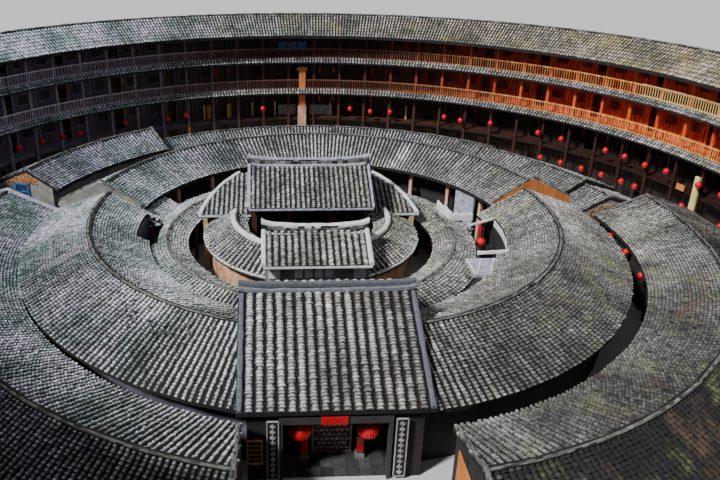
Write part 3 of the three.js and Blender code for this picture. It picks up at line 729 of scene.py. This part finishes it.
def passage_verge(side, sign):
    """The end of a near section's roof along the gate passage."""
    half, middle = RING2_GATE
    x = middle + sign * (half + 0.12)
    radii = np.linspace(RING2_NEAR[0][0] + 0.15, RING2_NEAR[2][0] - 0.15, 28)
    y = -np.sqrt(radii ** 2 - (x - RING2_NEAR_X[side]) ** 2)
    return band(stack(x, y, height_at(RING2_NEAR, radii) + 0.04), 0.22, 0.12, 0.08)


def ring_verges():
    left, right = RING2_RAISED_SPAN
    inset = 0.3  # degrees from the end of a roof
    ends = ((RING2_RAISED, left + inset), (RING2_RAISED, right - inset),
            (RING2_RIGHT, RING2_RIGHT_SPAN[0] + inset), (RING2_RIGHT, RING2_RIGHT_SPAN[1]),
            (RING2_LOW, RING2_LOW_END - inset), (RING2_NEAR, RING2_NEAR_FROM["right"] + inset))
    dark = [band(ring_verge(roof, azimuth), 0.2, 0.1, 0.08) for roof, azimuth in ends]
    for azimuth in (RING3_STEP - inset, inset - RING3_STEP):
        dark.append(band(ring_verge(RING3_FAR, azimuth) + (0, 0, GABLE_RISE), 0.24, 0.1, 0.06))
    pale = band(ring_verge(RING2_NEAR, -RING2_NEAR_FROM["left"] - 0.5), 0.36, 0.14, 0.05)
    build("ring2_near_left_verge", moved([pale], RING2_NEAR_X["left"]), LILAC)
    dark += [passage_verge(side, sign) for side, sign in SIDES]
    build("ring_verges", dark, RIDGE)


def ridge_bar(roof, half, y, z, dip, *section):
    """A bar along a hall's ridge, moved from it by y and z, with a sag and curled-up ends."""
    x = np.linspace(-half, half, 24)
    share = np.abs(x) / half
    return band(stack(x, roof[1][0] + y, roof[1][1] + z + dip * share ** 2 + 0.12 * share ** 12), *section)


def hall_ridges():
    half = FRONT_HALF
    white = [ridge_bar(FRONT_HALL, half, 0, 0.16, 0.26, 0.42, 0.18, 0.03),
             ridge_bar(FRONT_HALL, half - 0.3, -0.3, -0.26, 0.06, 0.18, 0.12, 0.05),
             eave(FRONT_HALL[0], half - 0.1)]
    white += [band(hall_verge(FRONT_HALL, x), 0.28, 0.2, 0.03) for x in (-half + 0.14, half - 0.14)]
    build_hall("front_hall_ridge", white, LIME)
    build_hall("front_hall_ridge_wall", [ridge_bar(FRONT_HALL, half - 0.1, 0, 0, 0.2, 0.46, 0.2)], RIDGE)
    half = BACK_HALF
    lilac = [ridge_bar(BACK_HALL, half, 0, 0.24, 0.2, 0.42, 0.1, 0.04),
             ridge_bar(BACK_HALL, half - 0.25, -0.28, -0.14, 0.05, 0.18, 0.12, 0.05),
             band(hall_verge(BACK_HALL, -half + 0.11), 0.22, 0.14, 0.04),
             band(hall_verge(BACK_HALL, half - 0.1), 0.16, 0.1, 0.06),
             eave(BACK_HALL[0], half - 0.1)]
    build_hall("back_hall_ridge", lilac, LILAC)
    build_hall("back_hall_ridge_wall", [ridge_bar(BACK_HALL, half - 0.1, 0, 0, 0.15, 0.46, 0.26)], RIDGE)
    half = GATE_HALF
    grey = [ridge_bar(GATE_HALL, half, -0.16, 0.04, 0.05, 0.14, 0.16, 0.06, 0.32),
            ridge_bar(GATE_HALL, half, 0.16, 0.06, 0.05, 0.16, 0.34, 0.03, 0.2)]
    grey += [band(hall_verge(GATE_HALL, x), 0.24, 0.12, 0.1, 0.18) for x in (-half + 0.16, half - 0.16)]
    build_hall("gate_hall_ridge", grey, BLUE_GREY)


def eave(low, half):
    """A bar just below the lowest tiles of a hall's slope."""
    y, z = low[0] + 0.02, low[1] - 0.12
    return band(line((-half, y, z), (half, y, z), 30), 0.1, 0.1, 0.05)


def wing_ridges():
    shapes = []
    (ridge, _), (edge, low) = WING[1:]
    foot, foot_z = BACK_WING[0]
    reach = math.sqrt((BACK_WING_RADIUS - 0.1) ** 2 - foot ** 2)
    for _, sign in SIDES:
        over = ridge_arc(WING, *on_side(sign, 80, meets(FRONT_HALL_SIDE, ridge)))
        rim = arc(*on_side(sign, 79, meets(FRONT_HALL_SIDE, edge)), edge - 0.06, low - 0.02)
        front = line(*((sign * x, foot + 0.03, foot_z - 0.08) for x in (BACK_HALL_SIDE + 0.1, reach)))
        shapes += [band(over, 0.32, 0.22, 0.04), band(rim, 0.12, 0.1, 0.06),
                   band(back_wing_edge(sign), 0.26, 0.13, 0.05), band(front, 0.1, 0.1, 0.05)]
    build_hall("wing_ridges", shapes, LIME)


def back_wing_edge(sign):
    """The round outer edge of a back wing's roof."""
    radius = BACK_WING_RADIUS - 0.2
    (foot, low), (end, high) = BACK_WING
    azimuths = np.linspace(*(math.degrees(math.acos(y / radius)) for y in (foot, end)), 16)
    y = radius * np.cos(np.radians(azimuths))
    return polar(sign * azimuths, radius, low + (high - low) * (y - foot) / (end - foot) + 0.02)


ring_ridges()
ring_verges()
hall_ridges()
wing_ridges()


# Gables

def gable_blocks(roof, azimuth, radii, heights, size, out=0.03):
    """Random blocks on an end wall that faces round the ring, kept below the roof."""
    width, height = size
    items, tones = [], []
    for row, z in enumerate(np.arange(*heights, height)):
        for radius in np.arange(radii[0] + (row % 2) * width / 2, radii[1], width):
            if z + height < height_at(roof, radius) - 0.16:
                items.append((radius + RNG.normal(0, 0.03), z + height / 2))
                tones.append(RNG.uniform(0, 1))
    radius, z = np.array(items).T
    sizes = stack((width - 0.05) * RNG.uniform(0.75, 1.0, len(z)), 0.06, height - 0.04)
    turn = math.degrees(out) / radius
    return boxes(polar(azimuth + turn, radius, z), sizes, azimuth - 90, np.array(tones))


def gable_strip(sign):
    """The end of ring 3's higher roof, which shows above the lower one."""
    radii = np.linspace(RING3_FAR[0][0] + 0.1, RING3_FAR[2][0] - 0.1, 24)
    low = height_at(RING3_NEAR, radii) - 0.05
    high = height_at(RING3_FAR, radii) + GABLE_RISE
    return surface(np.stack([polar(sign * (RING3_STEP + 0.12), radii, z) for z in (low, high)]))


def gables():
    blocks = gable_blocks(RING2_LOW, RING2_LOW_END, RING2_WALLS, (0.1, 4.0), (0.42, 0.3))
    build("low_gable_stones", [blocks], STONE)
    left = RING2_RAISED_SPAN[0]
    bricks = gable_blocks(RING2_RAISED, left, (22.2, 24.6), (4.66, 5.6), (0.3, 0.12), -0.03)
    build("raised_gable_bricks", [bricks], BRICK)
    build("raised_gable_window", [barred_window(left)], BLUE)
    build("ring3_gable_right", [gable_strip(1)], ORANGE)
    build("ring3_gable_left", [gable_strip(-1)], PLASTER)


def barred_window(azimuth):
    """The frame and bars of the window in a gable, standing a little proud of the wall."""
    middle, sill, width, height = 23.45, 3.4, 1.1, 1.2
    centre, side = sill + height / 2, width / 2
    items = [(x, 0.05, centre, 0.1, height + 0.1) for x in (-side, side)]
    items += [(0, 0.05, sill + z, width + 0.1, 0.1) for z in (0, height / 2, height)]
    items += [(x, 0.03, centre, 0.04, height) for x in np.linspace(-side, side, 8)[1:-1]]
    along_wall, out, z, wide, high = np.array(items).T
    radius = middle + along_wall
    return boxes(polar(azimuth - np.degrees(out / radius), radius, z), stack(wide, 0.1, high), azimuth - 90)


gables()


# Galleries of the outer ring

ALL_BAYS = (np.arange(BAYS) + 0.5) * 360 / BAYS
PALE_RAIL = (64, 118)  # azimuths between which the upper rail is of newer wood
WINDOWS_X = (-1.7, 1.7)
PIER, RIGHT_PIER = 0.2, 77.2

# Piers, panels and posts of a few bays, from boxes of (azimuth, radius, height of the middle, size)
FAR_PARTS = (
    ("far_pier", PORCH_WOOD, [(PIER, RAIL_RADIUS, 2.25, (0.9, 0.2, 4.5))]),
    ("far_pier_top", ORANGE, [(PIER, RAIL_RADIUS, 6.6, (0.7, 0.2, 4.2)),
                              (PIER, RAIL_RADIUS, 8.5, (1.1, 0.24, 0.3))]),
    ("right_pier", PALE_WOOD, [(RIGHT_PIER, 30.95, 2.75, (0.5, 0.18, 4.1))]),
    ("right_pier_foot", ORANGE, [(RIGHT_PIER, 30.95, 0.35, (0.56, 0.24, 0.7))]),
    ("orange_panels", ORANGE, [(-17.9, 32.4, 3.9, (0.42, 0.06, 1.5)), (-13.9, 32.4, 3.9, (0.42, 0.06, 1.5)),
                               (74.2, 31.1, 3.35, (0.8, 0.06, 0.5)), (-22.6, 31.1, 1.9, (0.3, 0.3, 2.0))]),
    ("blue_panels", BLUE, [(a, 32.45, 10.7, (0.9, 0.06, 0.9)) for a in (-3.4, -1.6, 0.2)]),
    ("pale_posts", PALE_WOOD, [(a, 32.4, 3.9, (0.14, 0.12, 1.5))
                               for a in (-18.8, -14.2, -9.4, -5.0, 5.8, 20.6)]))


def balusters():
    azimuths = row_azimuths(-180, 180, 0.24, RAIL_RADIUS)
    pale = (azimuths > PALE_RAIL[0]) & (azimuths < PALE_RAIL[1])
    high = RAIL_HEIGHT - 0.1
    for storey, places in ((2, azimuths), (3, azimuths[~pale])):
        floor = STOREYS[storey]
        items = [(0, 0, floor + high / 2, 0.05, 0.05, high), (0, 0, floor + 0.14, 0.25, 0.07, 0.07)]
        build(f"gallery_balusters_{storey + 1}", [around(places, RAIL_RADIUS, items)], RAIL_WOOD)
    items.append((0, 0, floor + RAIL_HEIGHT + 0.03, 0.26, 0.16, 0.07))
    build("gallery_balusters_4_pale", [around(azimuths[pale], RAIL_RADIUS, items)], PALE_WOOD)


def room_fronts():
    """Frames, rails and barred windows on the timber walls behind the galleries."""
    for storey, floor in enumerate(STOREYS):
        middle = floor + 1.65
        items = [(0, 0, floor + 2.5, 5.5, 0.05, 0.12), (0, 0, floor + 0.95, 1.2, 0.04, 0.06)]
        items += [(x, 0, floor + 1.4, 0.13, 0.06, 2.8) for x in (-0.57, 0.57, -2.72, 2.72)]
        items += [(0, 0, floor + 2.32, 1.3, 0.06, 0.12)]
        for x in WINDOWS_X:
            items += [(x, 0, floor + z, 1.3, 0.06, 0.09) for z in (1.15, 2.15)]
            items += [(x + side, 0, middle, 0.09, 0.06, 1.0) for side in (-0.62, 0.62)]
            items += [(x + bar, 0, middle, 0.04, 0.04, 0.95) for bar in np.linspace(-0.5, 0.5, 6)]
        build(f"room_front_frames_{storey + 1}", [around(ALL_BAYS, FRONT_DISTANCE - 0.03, items)], TIMBER)
        panes = [(x, 0, middle, 1.2, 0.02, 0.95) for x in WINDOWS_X]
        build(f"room_windows_{storey + 1}", [around(ALL_BAYS, FRONT_DISTANCE - 0.01, panes)], SHADED_WALL)


def gallery_beams():
    """A short beam end under every floor at each post, and the board along each floor's edge."""
    posts = (np.arange(2 * BAYS) + 0.5) * 180 / BAYS
    items = [(0, 0, floor - 0.34, 0.16, 1.3, 0.2) for floor in STOREYS[1:]]
    items += [(x, 0.55, 11.35, 0.3, 0.1, 0.12) for x in (-0.2, 0.2)]
    build("gallery_beams", [around(posts, 32.0, items)], TIMBER)
    edges = np.linspace(-180, 180, 145)
    boards = [ring_wall((31.3, 31.36), (floor - 0.24, floor - 0.02), edges) for floor in STOREYS[1:]]
    build("floor_edge_boards", boards, BOARD)


def papers():
    """Bare strips of red and orange paper pasted beside some doors, in the middle two storeys."""
    chosen = ALL_BAYS[RNG.permutation(BAYS)[:22]]
    items = [(x, 0, floor + 1.8, 0.2, 0.02, 0.6) for floor in STOREYS[1:3] for x in (-0.75, 0.75)]
    for name, material, share in (("papers_red", RED, chosen[:12]), ("papers_orange", ORANGE, chosen[12:])):
        build(name, [around(share, FRONT_DISTANCE - 0.07, items)], material)


def far_details():
    for name, material, parts in FAR_PARTS:
        build(name, [boxes(polar(a, radius, z), size, a) for a, radius, z, size in parts], material)
    build("lattice_windows", [lattice(-2.6, 1.9), lattice(4.0, 2.5)], LIME)


def lattice(azimuth, width):
    floor, height = 3.25, 1.0
    items = [(x, 0, floor + height / 2, 0.05, 0.04, height) for x in np.arange(-width / 2, width / 2, 0.2)]
    items += [(0, 0, floor + z, width, 0.05, 0.05) for z in np.linspace(0, height, 6)]
    return around([azimuth], 32.35, items, RNG.uniform(0.3, 1.0, len(items)))


balusters()
room_fronts()
gallery_beams()
papers()
far_details()


# Lanterns, by azimuth

UPPER_LANTERNS = (-56.7, -52.1, -48.0, -44.6, -35.4, -27.0, -23.3, -7.7, 9.9, 14.0, 18.0, 28.8, 32.0, 37.9,
                  47.2, 51.7, 60.2, 63.9, 67.8, 71.8)
HIDDEN_LANTERNS = np.arange(78, 300, 4.4)
LOWER_LANTERNS = (47.8, 51.7, 55.7, 59.5, 63.3, 65.9, 74.8, 82.4)
EAVE_LANTERNS = (89.0, 96.2, 105.7)
UPPER_RADIUS, LOWER_RADIUS, EAVE_RADIUS = 30.65, 31.3, 20.42


def lantern(centre, radius, high):
    """A round lantern with capped ends."""
    neck = 0.34 * radius
    steps = np.linspace(0, math.pi, 8)
    cap = [(0.0, 0.62 * high), (neck, 0.6 * high), (neck, 0.5 * high)]
    body = [(radius * (0.38 + 0.62 * math.sin(a)), high / 2 * math.cos(a)) for a in steps]
    foot = [(neck, -0.5 * high), (neck, -0.62 * high), (0.0, -0.62 * high)]
    return turned(cap + body + foot, centre)


def rods(azimuths, radius, low, high):
    return [boxes(polar(a, radius, (low + high) / 2), (0.03, 0.03, high - low)) for a in azimuths]


def small_lanterns():
    places = np.concatenate([UPPER_LANTERNS, HIDDEN_LANTERNS])
    upper = [lantern(polar(a, UPPER_RADIUS, 4.3 + RNG.normal(0, 0.08)), 0.27, 0.46) for a in places]
    build("skirt_lanterns", upper, RED, smooth=True)
    under_skirt = STOREYS[2] + SKIRT[0][1] - 0.12
    build("skirt_lantern_rods", rods(places, UPPER_RADIUS, 4.5, under_skirt), TIMBER)
    lower = [lantern(polar(a, LOWER_RADIUS, 1.8), 0.27, 0.46) for a in LOWER_LANTERNS]
    eaves = [lantern(polar(a, EAVE_RADIUS, 2.85), 0.24, 0.4) for a in EAVE_LANTERNS]
    build("low_lanterns", lower + eaves, RED, smooth=True)
    shapes = rods(LOWER_LANTERNS, LOWER_RADIUS, 1.99, 2.93) + rods(EAVE_LANTERNS, EAVE_RADIUS, 3.05, 3.35)
    build("low_lantern_rods", shapes, TIMBER)


small_lanterns()


# Gate hall's front

POSTS = (1.3, -17.6)  # x of the right one, and y
BOARD_FACE = GATE_HALL_FACE - 0.17


def gate_front():
    face, dim = GATE_HALL_FACE, 0.06
    wood = [pair(2.42, face, 1.6, (0.16, 0.34, 3.2), dim),
            boxes((0, face, 3.38), (5.0, 0.36, 0.36), tones=dim),
            boxes((0, face + 0.1, 3.02), (4.9, 0.12, 0.12), tones=dim)]
    build_hall("gate_door_frame", wood, GREY_STONE)
    posts = [pair(*POSTS, 2.1, (0.28, 0.28, 4.2), 0.3), pair(*POSTS, 0.12, (0.42, 0.42, 0.24))]
    build_hall("gate_posts", posts, GREY_STONE)
    build_hall("gate_hall_flags", [flags()], GREY_STONE)
    build_hall("gate_post_papers", [pair(*POSTS, 0.82, (0.32, 0.32, 0.85))], RED)
    build_hall("gate_plaque", [boxes((-0.08, face - 0.2, 3.4), (1.16, 0.06, 0.4))], RED)
    build_hall("gate_boards", [board(-2.77), board(2.89)], GREY_STONE)
    build_hall("gate_window", [window_bars(-3.56)], BRICK)
    build("passage_boards", [passage_boards()], ORANGE)


def passage_boards():
    """Upright planks on the end of the near right section, along the gate passage."""
    width, top = 0.22, 3.3
    places = np.arange(-27.1, -21.0, width)
    centres = stack(sum(RING2_GATE) - 0.03, places, top / 2)
    return boxes(centres, (0.05, width - 0.02, top), 0, RNG.uniform(0, 1, len(places)))


def flags():
    """The stone floor of the hall, between its walls, in flags a little apart."""
    size, thick = 0.6, 0.036
    x, y = np.meshgrid(np.arange(-3.3, 3.4, size), np.arange(-18.6, -10.2, size))
    centres = stack(x, y, thick / 2).reshape(-1, 3)
    return boxes(centres, (size - 0.02, size - 0.02, thick), 0, RNG.uniform(0.0, 0.12, x.size))


def board(x):
    """A tall board with a plain frame and a column of diamonds."""
    y = BOARD_FACE - 0.02
    parts = [boxes((x, BOARD_FACE, 1.8), (0.5, 0.05, 3.2), tones=0.0)]
    parts += [boxes((x + side, y, 1.8), (0.05, 0.06, 3.2), tones=1.0) for side in (-0.25, 0.25)]
    parts += [boxes((x, y, z), (0.5, 0.06, 0.05), tones=1.0) for z in (0.2, 3.4)]
    for z in np.arange(0.45, 3.3, 0.3):
        parts.append(diamond(x, BOARD_FACE - 0.04, z, 0.26, RNG.uniform(0.6, 1.0)))
    return join(parts)


def diamond(x, y, z, size, tone):
    """A square set on its corner, facing the gate side."""
    corners = [(0, -size / 2), (size / 2, 0), (0, size / 2), (-size / 2, 0)]
    points = [(x + a, y + depth, z + b) for depth in (-0.03, 0.03) for a, b in corners]
    sides = [(k, (k + 1) % 4, (k + 1) % 4 + 4, k + 4) for k in range(4)]
    return np.array(points), np.array([(0, 1, 2, 3)] + sides), tone


def window_bars(x):
    parts = [boxes((x + side, BOARD_FACE, 1.73), (0.07, 0.08, 1.26)) for side in (-0.32, 0.32)]
    parts += [boxes((x, BOARD_FACE, z), (0.7, 0.08, 0.07)) for z in (1.1, 2.36)]
    parts += [boxes((x, BOARD_FACE, z), (0.6, 0.05, 0.05), tones=0.2) for z in (1.35, 1.6, 1.85, 2.1)]
    return join(parts)


def relief_screen():
    """Carved diamonds and bosses on the screen behind the gate, in a plain frame."""
    width, height, y = 1.9, 2.5, -17.26
    parts = [pair(0.9, y - 0.03, height / 2, (0.08, 0.1, height), 0.6)]
    parts += [boxes((0, y - 0.03, z), (width, 0.1, 0.08), tones=0.6) for z in (0.04, height - 0.04)]
    for row, z in enumerate(np.arange(0.3, height - 0.15, 0.26)):
        for x in np.arange(-0.72 + (row % 2) * 0.12, 0.8, 0.24):
            parts.append(diamond(x, y - 0.02, z, 0.24, RNG.uniform(0.3, 0.9)))
            parts.append(boxes((x, y - 0.05, z), (0.07, 0.06, 0.07), tones=1.0))
    build_hall("gate_screen_relief", parts, GREY_STONE)


def gate_lanterns():
    """Ribbed lanterns in place of the plain ones."""
    radius, high, drop, count = 0.5, 0.85, 1.5, 48
    under_eave = height_at(GATE_HALL, -18.35) - 0.22
    steps = np.linspace(0.1, 0.9, 9) * math.pi
    outline = [(0.05, drop + high / 2), (0.05, high / 2), (0.2, high / 2), (0.2, high / 2 - 0.05)]
    outline += [(radius * math.sin(a) ** 0.7, high * 0.46 * math.cos(a)) for a in steps]
    outline += [(0.2, 0.05 - high / 2), (0.2, -high / 2), (0.0, -high / 2)]
    tones = np.full((len(outline) - 1, count), 1.0)
    tones[:3] = tones[-2:] = 0.0
    for side, sign in SIDES:
        centre = np.array((sign * 1.55, -18.3, under_eave - drop - high / 2))
        points, quads, _ = turned(outline, centre, count, ribs=0.03)
        piece = build_hall(f"gate_lantern_{side}_ribbed", [(points, quads, tones.ravel())], LANTERN_RED)
        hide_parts(f"gate_lantern_{side}")


gate_front()
relief_screen()
gate_lanterns()


# Halls' fronts

def hall_fronts():
    y = FRONT_HALL_FACE - 0.06
    parts = [pair(1.85, y, 1.65, (0.14, 0.1, 3.3), 0.3), boxes((0, y, 3.36), (3.8, 0.1, 0.14), tones=0.6)]
    build_hall("front_hall_front", parts, BOARD_PALE)
    panels = [boxes((-0.2 + x, y, 3.9), (0.46, 0.08, 0.56)) for x in (-0.9, -0.3, 0.3, 0.9)]
    panels.append(pair(2.55, FRONT_HALL_FACE - 0.04, 3.9, (0.7, 0.06, 0.7)))
    build_hall("front_hall_panels", panels, LIME)


hall_fronts()


# Light wells and what stands round them

def wells():
    right = [ring_wall((12.16, 12.3), (3.5, 3.95), np.linspace(86, 110, 16)),
             band(line(polar(110, 10.35, 3.55), polar(110, 12.2, 3.95)), 0.14, 0.16, 0.05),
             band(line(polar(85, 10.4, 3.5), polar(85, 12.2, 3.95)), 0.12, 0.12, 0.05)]
    build("right_well_border", right, LIME)
    build("right_well_panel", [boxes(polar(82.5, 11.5, 3.05), (1.0, 0.08, 0.95), 97.5)], RED)
    build("right_well_lantern", [lantern(polar(88.5, 11.2, 2.5), 0.34, 0.56)], RED, smooth=True)
    build("porch_end_wall", [ring_wall((12.9, 13.02), (0.0, 4.2), np.linspace(58, 67, 12))], LILAC)
    corner = (9.4, 2.0, 3.62)
    parapet = [band(line((8.9, 4.1, 3.62), corner), 0.18, 0.5, 0.04),
               band(line(corner, (10.9, 2.0, 3.62)), 0.18, 0.4, 0.04)]
    build("well_parapet", parapet, LIME)


def flat_roof_seams():
    x, y0, y1, top = 8.7, -6.8, -4.8, 3.8
    seams = [band(line((x + a, y0, top), (x + a + 0.8, y1, top)), 0.1, 0.05, 0.05) for a in (0.1, 0.9)]
    seams.append(band(line((x, y0 + 0.1, top), (x, y1, top)), 0.1, 0.06, 0.05))
    build("flat_roof_lines", seams, LIME)


def left_lean_to():
    low, high = (11.3, 3.25), (13.3, 4.05)
    rows = row_azimuths(-80, -62, 0.3, 12.3)
    build("left_lean_to_bed", [swept((low, high), np.linspace(-80, -62, 16))], SHADED_BED)
    tiles = tile_rows(slope(low, high, ring_point), rows, 0.2, 0.24, 0.1)
    build("left_lean_to_tiles", [tiles], TILE)


def loose_tiles():
    """A few slipped tiles that lie on the near left roof of ring 3."""
    azimuths = RNG.uniform(-153, -137, 14)
    radii = RNG.uniform(15.6, 17.2, 14)
    centres = polar(azimuths, radii, height_at(RING3_NEAR, radii) + 0.1)
    turns = RNG.uniform(0, 180, 14)
    build("loose_tiles", [boxes(centres, (0.3, 0.22, 0.05), turns, RNG.uniform(0.0, 0.25, 14))], TILE)


wells()
flat_roof_seams()
left_lean_to()
loose_tiles()


# Stage and light

def make_stage():
    size = 300
    mesh = bpy.data.meshes.new("floor")
    corners = [(-size, -size, 0), (size, -size, 0), (size, size, 0), (-size, size, 0)]
    mesh.from_pydata(corners, [], [(0, 1, 2, 3)])
    material, _, shader = new_material("floor")
    shader.inputs["Base Color"].default_value = (*grey(0.6), 1)
    mesh.materials.append(material)
    floor = add("floor", mesh)


def make_light():
    world = bpy.data.worlds.new("studio")
    world.use_nodes = True
    background = world.node_tree.nodes["Background"]
    background.inputs["Color"].default_value = (0.93, 0.95, 1.0, 1)
    background.inputs["Strength"].default_value = 0.32
    bpy.context.scene.world = world
    data = bpy.data.lights.new("sun", "SUN")
    data.energy = 4.8
    data.angle = math.radians(8)
    towards = Vector((-0.62, -0.38, 0.72))
    add("sun", data).rotation_euler = towards.to_track_quat("Z", "Y").to_euler()


make_stage()
make_light()


# Looks of the solids

def dress_frame():
    looks = {"tile": SHADED_BED, "earth": EARTH, "plaster": PLASTER, "timber": TIMBER, "red": RED, "slab": LILAC}
    special = ((PEACH, ("wing_left_wall", "wing_right_wall")),
               (SHADED_WALL, ("ring3_far_walls", "ring3_near_right_walls", "corridor_wall", "gate_hall_walls",
                            "ring2_near_left_walls", "ring2_near_right_walls", "back_hall_walls")),
               (BLUISH_WALL, ("ring3_near_left_walls",)), (PORCH_WOOD, ("ring3_porch_frame",)),
               (BOARD, [f"room_fronts_{storey}" for storey in (1, 2, 3, 4)]),
               (RAIL_WOOD, ("gallery_rail_3", "gallery_rail_4")))
    chosen = {name: material for material, names in special for name in names}
    slots = {part["node"]: part["material_slot"] for part in frame["record"]["subparts"]}
    for name, piece in frame["nodes"].items():
        for slot in piece.material_slots:
            slot.material = chosen.get(name, looks[slots[name]])


dress_frame()
